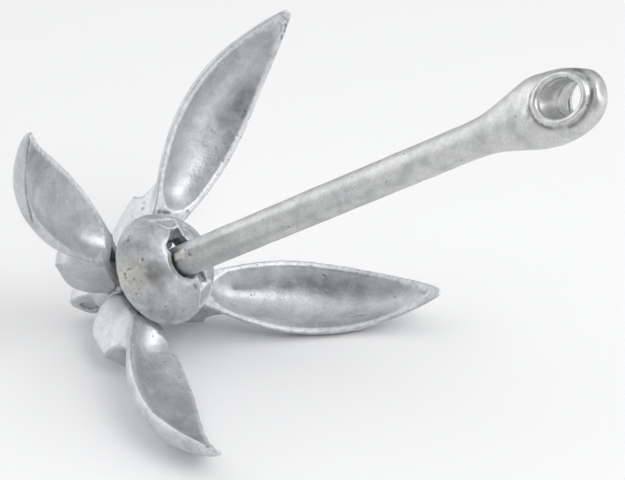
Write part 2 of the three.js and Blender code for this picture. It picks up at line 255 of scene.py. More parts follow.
def polygon(x, y, points):
    """Distance to a closed outline, negative inside it."""
    points = np.asarray(points, float)
    best = np.full(np.broadcast(x, y).shape, np.inf)
    inside = np.zeros(best.shape, bool)
    for (ax, ay), (bx, by) in zip(points, np.roll(points, -1, 0)):
        ex, ey = bx - ax, by - ay
        share = np.clip(((x - ax) * ex + (y - ay) * ey) / (ex * ex + ey * ey), 0, 1)
        best = np.minimum(best, np.hypot(x - ax - ex * share, y - ay - ey * share))
        if ay != by:
            crosses = (y < ay) != (y < by)
            inside ^= crosses & (x < ax + ex * (y - ay) / ey)
    return np.where(inside, -best, best)


def arc(centre, radius, start, end, steps):
    """Points on a round arc, its angles in radians."""
    angles = np.linspace(start, end, steps)
    return [(centre[0] + radius * math.cos(a), centre[1] + radius * math.sin(a)) for a in angles]


def bezier(points, steps):
    """Points on a quadratic or cubic curve, its first point left out."""
    out = []
    for t in np.linspace(0, 1, steps + 1)[1:]:
        layer = [np.asarray(p, float) for p in points]
        while len(layer) > 1:
            layer = [(1 - t) * a + t * b for a, b in zip(layer, layer[1:])]
        out.append(tuple(layer[0]))
    return out


CURVE_STEPS = 16


def through(table, along, key):
    """A smooth curve through a table's points, as two lists for np.interp."""
    points = np.column_stack([table[along], table[key]]).astype(float)
    points = np.vstack([points[:1], points, points[-1:]])
    t = np.linspace(0, 1, CURVE_STEPS, endpoint=False)[:, None]
    out = []
    for before, a, b, after in zip(points, points[1:], points[2:], points[3:]):
        leave, arrive = (b - before) / 2, (after - a) / 2
        out.append((2 * a - 2 * b + leave + arrive) * t ** 3
                   + (3 * b - 3 * a - 2 * leave - arrive) * t ** 2 + leave * t + a)
    out.append(points[-1:])
    return tuple(np.vstack(out).T)


SPOON_CURVES = {key: through(SPOON, "along", key) for key in ("half", "rim", "deep")}
EYE_CURVES = {key: through(EYE_SHAPE, "z", key) for key in ("half", "offset", "thick")}


def oval(u, v, half_u, half_v):
    """Near enough the distance to an ellipse of these half widths."""
    tiny = 1e-6
    reach = np.sqrt((u / half_u) ** 2 + (v / half_v) ** 2 + tiny)
    grade = np.sqrt((u / half_u ** 2) ** 2 + (v / half_v ** 2) ** 2 + tiny / (half_u * half_v))
    return reach * (reach - 1) / grade


# ---------- smooth noise ----------

NOISE_SIZE = 32
NOISE_SHIFT = 100  # keeps every place in the noise's table positive


def noise(points, wave, seed):
    """Smooth noise from -1 to 1, wave millimetres between its lumps."""
    table = np.random.default_rng(seed).uniform(-1, 1, (NOISE_SIZE,) * 3)
    scaled = points / wave + NOISE_SHIFT
    base = np.floor(scaled).astype(int)
    share = scaled - base
    share = share * share * (3 - 2 * share)
    total = np.zeros(len(points))
    for corner in itertools.product((0, 1), repeat=3):
        weight = np.prod(np.where(corner, share, 1 - share), axis=1)
        total += weight * table[tuple(((base + corner) % NOISE_SIZE).T)]
    return total


def marks(points, lines, seed):
    """Nearness to broken dark lines, each a list of places and a width."""
    total = np.zeros(len(points))
    for places, width in lines:
        places = np.asarray(places, float)
        for a, b in zip(places, places[1:]):
            share = np.clip((points - a) @ (b - a) / ((b - a) @ (b - a)), 0, 1)
            away = np.linalg.norm(points - a - share[:, None] * (b - a), axis=1)
            total = np.maximum(total, np.clip(1.6 - away / width, 0, 1))
    return total * np.clip(1.1 + noise(points, wave=1.4, seed=seed), 0, 1)


# ---------- skin ----------

UNIT = np.eye(3, dtype=int)


def mixed_cells(solid):
    """Which cells of the grid have both metal and air at their corners."""
    size = np.array(solid.shape)
    corner_sum = np.zeros(size - 1, np.int8)
    for i, j, k in itertools.product((0, 1), repeat=3):
        corner_sum += solid[i:size[0] - 1 + i, j:size[1] - 1 + j, k:size[2] - 1 + k]
    return (corner_sum > 0) & (corner_sum < 8)


def cell_points(values, cells):
    """One point in each cell, in the middle of its edges' crossings of zero."""
    total = np.zeros((len(cells), 3))
    count = np.zeros(len(cells))
    for axis in range(3):
        for a, b in itertools.product((0, 1), repeat=2):
            start = a * UNIT[(axis + 1) % 3] + b * UNIT[(axis + 2) % 3]
            near = values[tuple((cells + start).T)]
            far = values[tuple((cells + start + UNIT[axis]).T)]
            crosses = (near < 0) != (far < 0)
            share = near[crosses] / (near[crosses] - far[crosses])
            total[crosses] += start + share[:, None] * UNIT[axis]
            count[crosses] += 1
    return cells + total / count[:, None]


def cell_faces(solid, number):
    """A quad across each edge of the grid that goes between metal and air."""
    faces = []
    for axis in range(3):
        crossing = np.argwhere(solid != np.roll(solid, -1, axis))
        crossing = crossing[crossing[:, axis] < solid.shape[axis] - 1]
        u, v = UNIT[(axis + 1) % 3], UNIT[(axis + 2) % 3]
        quad = np.stack([number[tuple((crossing - shift).T)] for shift in (u + v, v, 0 * u, u)], 1)
        leaving = solid[tuple(crossing.T)]
        quad[~leaving] = quad[~leaving, ::-1]
        faces.append(quad)
    return np.vstack(faces)


def cells_round(values, step, low):
    """Quads round the zero of a grid of values: one point in each mixed cell."""
    solid = values < 0
    mixed = mixed_cells(solid)
    cells = np.argwhere(mixed)
    number = np.full(mixed.shape, -1)
    number[mixed] = np.arange(len(cells))
    return low + step * cell_points(values, cells), cell_faces(solid, number)


def slope(field, points, reach=0.05):
    """The field's gradient at the points, measured over a short reach."""
    out = np.empty_like(points)
    for axis in range(3):
        after, before = points.copy(), points.copy()
        after[:, axis] += reach
        before[:, axis] -= reach
        out[:, axis] = (field(*after.T) - field(*before.T)) / (2 * reach)
    return out


MARGIN_STEPS = 1.5
SETTLING_PASSES = 3
LEAST_STEEPNESS = 0.09


def skin(field, low, high, step, relief):
    """Points and quads on field plus relief, where relief is small."""
    low = np.asarray(low, float) - MARGIN_STEPS * step
    counts = np.ceil((np.asarray(high, float) + MARGIN_STEPS * step - low) / step).astype(int) + 1
    x, y, z = np.ix_(*[low[i] + step * np.arange(counts[i]) for i in range(3)])
    values = np.broadcast_to(field(x, y, z), tuple(counts))
    points, faces = cells_round(values, step, low)
    for _ in range(SETTLING_PASSES):
        grade = slope(field, points)
        steepness = np.maximum((grade ** 2).sum(1), LEAST_STEEPNESS)
        move = -(field(*points.T) + relief(points))[:, None] * grade / steepness[:, None]
        length = np.linalg.norm(move, axis=1, keepdims=True)
        points = points + move * np.minimum(1, 0.5 * step / np.maximum(length, 1e-9))
    return points, faces


def casting(name, field, box, step, place, relief, masks=None):
    """A mesh object in the row frame, with a number at each point for each mask."""
    points, faces = skin(field, box[0], box[1], step, relief)
    mesh = bpy.data.meshes.new(name)
    matrix = np.array(Matrix.Scale(MM, 4) @ place)
    world = points @ matrix[:3, :3].T + matrix[:3, 3]
    mesh.vertices.add(len(world))
    mesh.vertices.foreach_set("co", world.astype(np.float32).ravel())
    mesh.loops.add(faces.size)
    mesh.loops.foreach_set("vertex_index", faces.astype(np.int32).ravel())
    mesh.polygons.add(len(faces))
    mesh.polygons.foreach_set("loop_start", np.arange(0, faces.size, 4, dtype=np.int32))
    mesh.polygons.foreach_set("use_smooth", np.ones(len(faces), bool))
    mesh.update(calc_edges=True)
    mesh.validate()
    for key, mask in (masks or {}).items():
        layer = mesh.attributes.new(key, "FLOAT", "POINT")
        layer.data.foreach_set("value", np.clip(mask(points), 0, 1).astype(np.float32))
    piece = bpy.data.objects.new(name, mesh)
    bpy.context.scene.collection.objects.link(piece)
    return piece


def hammered(seed, coarse=0.12, fine=0.05):
    """The waves and small lumps that zinc leaves all over."""
    def relief(points):
        waves = coarse * noise(points, wave=9, seed=seed)
        ripples = coarse * 0.6 * noise(points, wave=4.3, seed=seed + 1)
        return waves + ripples + fine * noise(points, wave=1.7, seed=seed + 2)
    return relief


# ---------- flukes ----------

def root_outline():
    """The root from the side: X towards the tip and Z towards the shank."""
    x, y = HEEL
    lobe = arc(ROOT_CENTRE, ROOT_RADIUS, math.pi * 0.42, math.pi * 1.47, 36)
    fillet = bezier([HEEL, (x + 2.5, y + 9), (x + 15, y + 10)], 8)
    return lobe + [HEEL] + fillet + [(32, 5), (SPOON["along"][0], SPOON["rim"][0]), (9, 12.2)]


def slot_outline():
    """The fork's slot from the side: all of the root as far as a slanted end."""
    edge = -ROOT_RADIUS - 3
    return [(edge, edge), (10.5, edge), (15.5, 20), (edge, 20)]


ROOT = root_outline()
SLOT = slot_outline()


def spoon_parts(x, y, z):
    """Fields of the spoon's back, of the plane of its rim and of its hollow."""
    half, rim, deep = (np.interp(x, *SPOON_CURVES[key]) for key in ("half", "rim", "deep"))
    start, end = HOLLOW_ALONG
    into = np.minimum((x - start) / HOLLOW_ROUND[0], (end - x) / HOLLOW_ROUND[1])
    close = np.maximum(0.02, 1 - (1 - np.clip(into, 0, 1)) ** 2)
    down = np.maximum(rim - z, 0)
    back = oval(y, deep * (down / deep) ** (1 / SPOON_FULLNESS), half, deep)
    inner_half = np.maximum(LEAST_HOLLOW, (half - SPOON_RIM) * np.sqrt(close))
    inner_deep = np.maximum(LEAST_HOLLOW, (deep - SPOON_WALL) * close)
    trough = (y / inner_half) ** 2 + down / inner_deep - 1
    trough = trough / np.hypot(2 * y / inner_half ** 2, 1 / inner_deep)
    hollow = np.maximum(trough, slab(x, start, end))
    return back, z - rim, hollow


def fluke_field(x, y, z):
    """A spoon on a thick root, less the spoon's hollow and the fork's slot."""
    back, above, hollow = spoon_parts(x, y, z)
    ends = slab(x, SPOON["along"][0], SPOON["along"][-1])
    body = round_both(round_both(back, ends, radius=1.6), above, radius=0.55)
    root = round_both(polygon(x, z, ROOT), np.abs(y) - FORK_THICKNESS / 2, radius=1.8)
    body = round_either(body, root, radius=2)
    body = cut(body, hollow, radius=0.6)
    slot = np.maximum(polygon(x, z, SLOT), np.abs(y) - FORK_SLOT / 2)
    return cut(body, slot, radius=0.6)


SEEDS_A_FLUKE = 100
RIM_LUMPS_FROM = 26  # along the fluke, where its rim starts to gather zinc
RIM_LUMPS_FADE = 8


def fluke_relief(number):
    """Waves, softer in the hollow, with lumps along the rim and the scars."""
    seed = SEEDS_A_FLUKE * number
    base = hammered(seed, coarse=0.1, fine=0.04)
    scars = scar_mask(number)

    def relief(points):
        back, above, hollow = spoon_parts(*points.T)
        beyond = np.clip((points[:, 0] - RIM_LUMPS_FROM) / RIM_LUMPS_FADE, 0, 1)
        edge = np.exp(-(np.hypot(back, above) / 0.9) ** 2) * beyond
        lumps = np.clip(noise(points, wave=3.1, seed=seed + 5) + 0.1, 0, 1)
        smoother = np.clip(0.55 + np.abs(hollow) / 1.5, 0.55, 1)
        return base(points) * smoother - 0.3 * edge * lumps + 0.35 * scars(points) + INSET
    return relief


def rim_mask(points):
    """Nearness to the flat rim round the hollow."""
    _, above, hollow = spoon_parts(*points.T)
    return np.clip(1.2 - np.abs(above) / 0.7, 0, 1) * np.clip(hollow / 0.4 + 0.6, 0, 1)


def hollow_mask(points):
    """Nearness to the hollow's own surface."""
    hollow = spoon_parts(*points.T)[2]
    return 1 - hollow / 0.8


# Dark cracks, seams and pits in the zinc, each a line of places and its half
# width, in the fluke's own frame, and in the anchor's for the crown and collar.
FLUKE_MARKS = {
    1: (
        (((19.2, 5.2, 12), (20.4, 0.8, 11.8)), 0.9),
        (((117.1, 3.1, -0.7), (116.9, 0.3, -0.7), (116, -3.4, -1.1)), 0.28),
        (((114.5, -2.8, -1.4), (113, -4.6, -1.8), (111.3, -5, -2.2)), 0.5),
        (((113.4, -1.6, -1.6), (110.4, -3.4, -2.4)), 0.35),
        (((109.2, -5.2, -2.7), (107.6, -6.2, -3)), 0.45),
        (((29.4, 6.2, 4.1), (27.6, 6, 4.8)), 0.4),
        (((25.2, -5.2, 7), (25.3, -4.8, 6.1)), 0.4),
        (((24, -7.4, 10.2), (24.6, -7, 9.2)), 0.45),
        (((14.3, 7.8, 1.7), (14.9, 7.8, 2.7)), 0.5),
        (((16.4, 7.8, 0.8), (17, 7.8, 0.2)), 0.4),
    ),
    2: (
        (((117.4, 2.6, -0.4), (119, 0.4, -0.2), (117.2, -2.8, -0.6)), 0.3),
        (((79.5, -6.6, -9.8), (86.2, -5.9, -9.5)), 0.2),
        (((64.6, 12.9, -5.6), (68, 11, -6.5)), 0.35),
        (((73.8, 11.6, -7.4), (76.7, 10.5, -8.4)), 0.25),
    ),
    3: (
        (((25.2, -8.7, 4.1), (20.2, -7.5, -2.8), (14.6, -6.6, -9.9)), 0.25),
        (((115.5, -3.9, -1.5), (117.2, -2.4, -1.2)), 0.35),
    ),
    4: (
        (((119.6, 1.7, -0.6), (115.4, 3.9, -1.9), (108.1, 6.8, -3.4), (100.3, 9.5, -5),
          (91.6, 11.9, -6.1), (85.5, 13.3, -6.4), (74.3, 15.4, -6.8)), 0.42),
    ),
}
CROWN_MARKS = ((((-5.8, -5.4, 23.5), (-6.2, -5, 28.4)), 0.9),)
COLLAR_MARKS = (
    (((5.6, -9.5, 70.9), (7.6, -10.3, 69.9)), 0.45),
    (((-19.6, -12.4, 57.4), (-19.9, -12.2, 57)), 0.4),
    (((-20.4, -11.3, 57.2), (-20.5, -10.9, 57.4)), 0.5),
    (((-20.7, -9.7, 58.6), (-20.6, -9.5, 58.9)), 0.35),
    (((-18.6, -13.4, 58.3), (-18.4, -13.5, 58.5)), 0.3),
    (((-19.9, -9.2, 60.2), (-19.8, -9.1, 60.4)), 0.3),
    (((-14.2, -17.4, 58.5), (-14, -17.6, 58.4)), 0.35),
    (((-22.5, 3.2, 58.6), (-22.3, 4.2, 58.4)), 0.4),
    (((-18.1, -5.7, 64.6), (-17.9, -5.3, 64.8)), 0.5),
)


def scar_mask(number):
    """Cracks and pits in the zinc, besides small pits along the hollow's edge."""
    seed = SEEDS_A_FLUKE * number

    def mask(points):
        _, above, hollow = spoon_parts(*points.T)
        near = np.exp(-(np.hypot(hollow, above) / 0.6) ** 2)
        pits = np.clip(6 * noise(points, wave=1.3, seed=seed + 7) - 2.6, 0, 1)
        pits = near * pits * np.clip(noise(points, wave=14, seed=seed + 8) + 0.6, 0, 1)
        return np.maximum(pits, marks(points, FLUKE_MARKS[number], seed + 9))
    return mask


FLUKE_BOX = ((-13, -17.5, -20), (122, 17.5, 14.5))


def make_fluke(number):
    place = ANCHOR @ pivot_place(FLUKES[number])
    piece = casting(f"fluke_{number}_casting", fluke_field, FLUKE_BOX, FLUKE_STEP, place,
                    fluke_relief(number),
                    {"rim": rim_mask, "hollow": hollow_mask, "scar": scar_mask(number)})
    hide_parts(f"fluke_{number}")
    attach(piece, f"fluke_{number}")
    return piece


# ---------- crown ----------

def crown_field(x, y, z):
    """A hub with four lugs and a flat tab, less the pins' bores, socket and trip hole."""
    radius = np.hypot(x, y)
    body = round_both(radius - HUB_RADIUS, slab(z, *HUB_Z), radius=1.5)
    tab = round_both(polygon(x, z, TAB), np.abs(y) - TAB_THICKNESS / 2, radius=1.5)
    body = round_either(body, tab, radius=2)
    bores = np.inf
    for fluke in FLUKES.values():
        out, across = facing(x, y, fluke["turn"])
        beyond = out - np.clip(out, HUB_RADIUS - 3, PIN_REACH)
        lug = np.hypot(beyond, z - PIN_Z) - CROWN_LUG_RADIUS
        lug = round_both(lug, np.abs(across) - CROWN_LUG_THICKNESS / 2, radius=0.8)
        body = round_either(body, lug, radius=1.2)
        bore = np.hypot(out - PIN_REACH, z - PIN_Z) - PIN_RADIUS - PIN_GAP
        bores = np.minimum(bores, np.maximum(bore, np.abs(across) - 2 * CROWN_LUG_THICKNESS))
    body = cut(body, bores, radius=0.3)
    socket = np.maximum(radius - SPIGOT_RADIUS - PIN_GAP, SPIGOT_BOTTOM_Z - PIN_GAP - z)
    body = cut(body, socket, radius=0.3)
    return cut(body, np.hypot(x, z) - TRIP_HOLE_RADIUS, radius=1.1)


def tab_outline():
    """The flat tab from the side: a round end, narrowing to the hub."""
    half = TAB_WIDTH / 2
    neck = (HUB_RADIUS - 1, HUB_Z[0] + 4)
    left = bezier([(-half, 2), (-half, -6), (-5.5, TAB_BOTTOM_Z), (0, TAB_BOTTOM_Z)], 10)
    right = bezier([(0, TAB_BOTTOM_Z), (5.5, TAB_BOTTOM_Z), (half, -6), (half, 2)], 10)
    return [(-neck[0], neck[1]), (-half, 2)] + left + right + [neck]


TAB = tab_outline()


def crown_scars(points):
    """The dark slit on the hub, between flukes 3 and 4."""
    return marks(points, CROWN_MARKS, seed=41)


def crown_relief(points):
    """Waves all over, and the slit."""
    return hammered(seed=40)(points) + 0.5 * crown_scars(points) + INSET


def make_crown():
    reach = PIN_REACH + CROWN_LUG_RADIUS + 0.5
    box = ((-reach, -reach, TAB_BOTTOM_Z), (reach, reach, HUB_Z[1]))
    piece = casting("crown_casting", crown_field, box, CROWN_STEP, ANCHOR, crown_relief,
                    {"scar": crown_scars})
    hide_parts("crown")
    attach(piece, "crown")
    return piece


# ---------- shank ----------

def eye_ring(through_eye, across, z, widen=0, lift=0):
    """Distance to the nearer ring round a mouth of the eye, from its centre line."""
    c, s = math.cos(math.radians(EYE_TAPER)), math.sin(math.radians(EYE_TAPER))
    best = np.inf
    for side in (1, -1):
        out = side * through_eye - EYE_MOUTH_DEPTH
        up = z - EYE_Z
        normal = c * out + s * up - lift
        along = c * up - s * out
        ring = np.hypot(across, along / EYE_STRETCH) - EYE_MOUTH - EYE_BEAD * BEAD_SEAT - widen
        best = np.minimum(best, np.hypot(ring, normal))
    return best


def shank_field(x, y, z):
    """A bar that swells into the eye, with a ring round each mouth, a spigot and a lug."""
    through_eye, across = facing(x, y, EYE_TURN)
    half, offset, thick = (np.interp(z, *EYE_CURVES[key]) for key in ("half", "offset", "thick"))
    top = EYE_SHAPE["z"][-1]
    bar = oval(across - offset, through_eye, half, thick)
    body = round_both(bar, slab(z, SHANK_FOOT_Z, top), radius=1.2)
    groove = eye_ring(through_eye, across, z, EYE_GROOVE_OUT, EYE_GROOVE_UP) - EYE_GROOVE_RADIUS
    body = cut(body, groove, radius=0.8)
    share = np.clip(np.abs(through_eye) / EYE_MOUTH_DEPTH, 0, 1.6)
    bore_radius = EYE_THROAT + (EYE_MOUTH - EYE_THROAT) * share ** 2
    bore = np.hypot(across, (z - EYE_Z) / EYE_STRETCH) - bore_radius
    body = cut(body, bore, radius=0.9)
    bead = eye_ring(through_eye, across, z) - EYE_BEAD
    body = round_either(body, bead, radius=0.35)
    spigot = np.maximum(np.hypot(x, y) - SPIGOT_RADIUS, slab(z, SPIGOT_BOTTOM_Z, SHANK_FOOT_Z + 2))
    body = np.minimum(body, spigot)
    out, side = facing(x, y, LOCK_LUG_TURN)
    lug = round_both(polygon(out, z, LUG), np.abs(side) - LOCK_LUG_WIDTH / 2, radius=0.6)
    return round_either(body, lug, radius=0.5)


def lug_outline():
    """The lock lug from the side: distance from the bar's axis, and height."""
    bottom, top = LOCK_LUG_Z
    rise = LOCK_LUG_REACH - SHANK_RADIUS + 1
    return [(3, bottom), (LOCK_LUG_REACH, bottom), (LOCK_LUG_REACH, top - rise),
            (LOCK_LUG_REACH - rise, top), (3, top)]


LUG = lug_outline()

# Painted light on the lug's top face, which is also tinted warm, and a three-cornered dent above it, with
# painted shade in it and painted highlights round it: distance to the left of the lug's middle, and
# height.
LUG_LIT_FACE = ((-2.6, 71.4), (1.7, 71.4), (1.7, 78), (-1, 79.2), (-2.6, 78))
LUG_DENT = ((-1.5, 80.2), (2.2, 83.6), (1.9, 80.4))

# Gathered zinc by the eye: how far out from its rings and up it is centred.
DROSS_OUT = 2.2
DROSS_UP = 0.5
GROOVE_FROM_MOUTH = 2.9


def shank_relief(points):
    """Waves all over, gathered zinc below the eye's rings, and the lug's dent."""
    base = hammered(seed=7, coarse=0.09, fine=0.04)(points)
    through_eye, across = facing(points[:, 0], points[:, 1], EYE_TURN)
    ring = eye_ring(through_eye, across, points[:, 2], DROSS_OUT, DROSS_UP)
    near_ring = np.exp(-(ring / DROSS_OUT) ** 2)
    lower = np.clip((EYE_Z + 3 - points[:, 2]) / 8, 0, 1)
    dross = 1.3 * noise(points, wave=1.5, seed=12) + 0.3 * noise(points, wave=6, seed=13)
    dross = np.clip(dross, -0.6, 1)
    return base - 0.35 * near_ring * lower * dross + 0.3 * dent_mask(points) + BAR_INSET


def dross_mask(points):
    """Nearness to the eye's grooves, where zinc has gathered."""
    through_eye, across = facing(points[:, 0], points[:, 1], EYE_TURN)
    ring = eye_ring(through_eye, across, points[:, 2], EYE_GROOVE_OUT, DROSS_UP)
    near_ring = np.exp(-(ring / EYE_GROOVE_OUT) ** 2)
    return near_ring * np.clip(0.5 + noise(points, wave=3, seed=14), 0, 1)


def round_lug(points):
    """To the left of the lock lug's middle, height, and if the lug is on this side."""
    x, y, z = points.T
    out, side = facing(x, y, LOCK_LUG_TURN)
    return side, z, out > 0


def lit_lug_face_mask(points):
    """Painted light on the lug's top face, tinted warm, with a ragged outline."""
    side, z, front = round_lug(points)
    patch = polygon(side, z, LUG_LIT_FACE)
    return np.clip(0.6 - patch / 0.5 + 0.5 * noise(points, wave=2, seed=15), 0, 1) * front


def dent_mask(points):
    """The three-cornered dent."""
    side, z, front = round_lug(points)
    return np.clip(0.5 - polygon(side, z, LUG_DENT) / 0.4, 0, 1) * front


def painted_bar_shade(points):
    """Painted shade: in the lug's dent, in the groove round the eye's rings and across the eye's throat.
    """
    through_eye, across = facing(points[:, 0], points[:, 1], EYE_TURN)
    z = points[:, 2]
    oval_reach = np.hypot(across, (z - EYE_Z) / EYE_STRETCH)
    groove = np.exp(-((oval_reach - EYE_MOUTH - GROOVE_FROM_MOUTH) / 0.8) ** 2)
    throat = np.exp(-((through_eye - noise(points, wave=4, seed=17)) / 0.5) ** 2)
    bore = oval_reach < EYE_MOUTH
    patchy = np.clip(0.85 + noise(points, wave=3, seed=18), 0.3, 1)
    return np.maximum(0.6 * dent_mask(points), patchy * np.maximum(groove, throat * bore))


def bar_highlights(points):
    """Painted highlights along the outline of the lug's dent and on the ring of the eye."""
    side, z, front = round_lug(points)
    outline = np.exp(-(polygon(side, z, LUG_DENT) / 0.35) ** 2) * front
    through_eye, across = facing(points[:, 0], points[:, 1], EYE_TURN)
    bead = eye_ring(through_eye, across, points[:, 2]) - EYE_BEAD
    patchy = np.clip(0.5 + noise(points, wave=3, seed=16), 0, 1)
    return 0.6 * outline + 0.4 * np.clip(1 - bead / 0.5, 0, 1) * patchy


EYE_HALF_BOX = 15


def make_shank():
    box = ((-EYE_HALF_BOX, -EYE_HALF_BOX, SPIGOT_BOTTOM_Z),
           (EYE_HALF_BOX, EYE_HALF_BOX, EYE_SHAPE["z"][-1]))
    piece = casting("shank_bar", shank_field, box, SHANK_STEP, ANCHOR, shank_relief,
                    {"dross": dross_mask, "rough": lit_lug_face_mask, "deep": painted_bar_shade, "edge": bar_highlights})
    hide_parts("shank")
    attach(piece, "crown")
    return piece


# ---------- lock collar ----------

def keyway_parts(x, y, z, keyway):
    """Heights over a facet and over a channel's floor, and both outlines."""
    out, _ = facing(x, y, keyway["turn"])
    rise = math.radians(keyway["rise"])
    above_facet = math.cos(rise) * out + math.sin(rise) * (z - COLLAR_CENTRE_Z) - FACET_REACH
    above_floor = z - CREST_Z + keyway["slope"] * (CREST_OUT - out)
    return above_facet, above_floor, polygon(x, y, keyway["facet"]), polygon(x, y, keyway["channel"])


def collar_outside(x, y, z):
    """Radius from the axis, and heights over the dome and over the flat ring."""
    radius = np.hypot(x, y)
    dome = np.sqrt(radius ** 2 + (z - COLLAR_CENTRE_Z) ** 2) - COLLAR_RADIUS
    out, _ = facing(x, y, DROOP_TURN)
    droop = z - COLLAR_TOP_Z + DROOP_SLOPE * (out - DROOP_OUT)
    return radius, dome, np.maximum(z - COLLAR_TOP_Z, droop)


def collar_field(x, y, z):
    """A hollow dome with a flat ring on top, less the hole, notch, facets and channels."""
    radius, dome, top = collar_outside(x, y, z)
    body = round_both(dome, COLLAR_RIM_Z - z, radius=0.8)
    body = round_both(body, top, radius=0.3)
    body = cut(body, round_both(dome + COLLAR_WALL, z - COLLAR_ROOF_Z, radius=1.5), radius=0.8)
    below_lip = -np.maximum(z - COLLAR_LIP_Z, x - COLLAR_LIP_X)
    opening = np.minimum(radius - COLLAR_HOLE_RADIUS, polygon(x, y, COLLAR_NOTCH))
    body = cut(body, np.maximum(opening, below_lip), radius=0.3)
    body = cut(body, radius - COLLAR_LIP_RADIUS, radius=0.4)
    for keyway in KEYWAYS:
        above_facet, above_floor, facet, channel = keyway_parts(x, y, z, keyway)
        body = cut(body, np.maximum(-above_facet, facet), radius=0.12)
        body = cut(body, np.maximum(-above_floor, channel), radius=0.2)
    return body


def collar_edges(points):
    """Nearness to the keyway's edges, from 0 to 1."""
    x, y, z = points.T
    _, dome, top = collar_outside(x, y, z)
    outside = np.maximum(dome, top)
    nearest = np.full(len(points), 9.0)
    for keyway in KEYWAYS:
        above_facet, above_floor, facet, channel = keyway_parts(x, y, z, keyway)
        walls = np.hypot(outside, np.where(above_facet > -0.3, np.minimum(facet, channel), channel))
        arc_edge = np.hypot((above_facet - dome) / FACET_SLANT, np.maximum(facet, 0))
        crest = np.hypot(np.hypot(above_facet, above_floor), np.maximum(channel, 0))
        for edge in (walls, arc_edge, crest):
            nearest = np.minimum(nearest, edge)
    return np.exp(-(nearest / EDGE_WIDTH) ** 2)


def ring_edge(points):
    """Nearness to the outer edge of the flat ring, where zinc has gathered."""
    x, y, z = points.T
    radius, dome, top = collar_outside(x, y, z)
    out, _ = facing(x, y, RING_TURN)
    spread = (out / np.maximum(radius, 1) - RING_SPREAD) / RING_FADE
    away = np.hypot(np.maximum(dome, top), (dome - top) / RING_SLANT)
    return np.exp(-(away / RING_WIDTH) ** 2) * np.clip(spread, 0, 1)


def patch_at(points, centre, size, level):
    """Nearness to a round patch: level in its middle, and 1 less for each size away."""
    return level - np.linalg.norm(points - np.array(centre), axis=1) / size


def edge_highlights_and_wear(points):
    """Painted highlights on the keyway's edges and the ring's edge, and the worn patch beside the keyway.
    """
    worn = np.clip(patch_at(points, WORN_PATCH, WORN_PATCH_SIZE, 1.3), 0, 1)
    worn = worn * np.clip(0.6 + noise(points, wave=1.2, seed=29), 0, 1) * (shade_and_stain_mask(points) < 0.1)
    return np.maximum(collar_edges(points) + 0.75 * ring_edge(points), 0.7 * worn)


# Painted shade in the notch and the collar's hollow starts this far under the outside.
SHADE_DEPTH = 2.5  # how far under the outside it starts


def shade_and_stain_mask(points):
    """Painted shade down the notch and over the collar's hollow, and the stain on the dome's dark patch.
    """
    x, y, z = points.T
    inside = np.clip(-polygon(x, y, COLLAR_NOTCH) / 0.8 + 1, 0, 1)
    under = np.clip((COLLAR_TOP_Z - SHADE_DEPTH - z) / 2, 0, 1)
    from_centre = np.linalg.norm(points - (0, 0, COLLAR_CENTRE_Z), axis=1)
    inner = np.clip(COLLAR_RADIUS - SHADE_DEPTH - from_centre, 0, 1)
    inner = inner * (z < COLLAR_ROOF_Z + 1)
    patch = patch_at(points, DARK_PATCH, DARK_PATCH_SIZE, 1.2)
    patch = np.clip(patch + 0.35 * noise(points, wave=3, seed=30), 0, 1)
    return np.maximum.reduce([inside * under, 0.8 * inner, 0.85 * patch])


def rough_patch(points):
    """Nearness to the rough patch low on the dome, beside fluke 4."""
    patch = patch_at(points, ROUGH_PATCH, ROUGH_PATCH_SIZE, 1.35)
    return np.clip(patch + 0.3 * noise(points, wave=5, seed=26), 0, 1)


def collar_scars(points):
    """The dome's pits and nicks."""
    return marks(points, COLLAR_MARKS, seed=31)


def collar_relief(points):
    """Waves all over, raised edges, the rough patch's lumps, and the scars."""
    base = hammered(seed=21, coarse=0.1, fine=0.03)(points)
    ragged = np.clip(0.65 + 0.6 * noise(points, wave=1.5, seed=24), 0.25, 1)
    edges = -0.55 * collar_edges(points) * ragged - 0.22 * ring_edge(points)
    lumps = 0.12 * noise(points, wave=1.3, seed=27) + 0.12 * noise(points, wave=2.6, seed=28)
    return base + edges + rough_patch(points) * lumps + 0.3 * collar_scars(points)


def make_collar():
    reach = COLLAR_RADIUS
    box = ((-reach, -reach, COLLAR_RIM_Z), (reach, reach, COLLAR_TOP_Z))
    piece = casting("collar_casting", collar_field, box, COLLAR_STEP, ANCHOR, collar_relief,
                    {"edge": edge_highlights_and_wear, "rough": rough_patch, "deep": shade_and_stain_mask,
                     "scar": collar_scars})
    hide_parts("lock_collar")
    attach(piece, "collar")
    return piece


# ---------- materials ----------

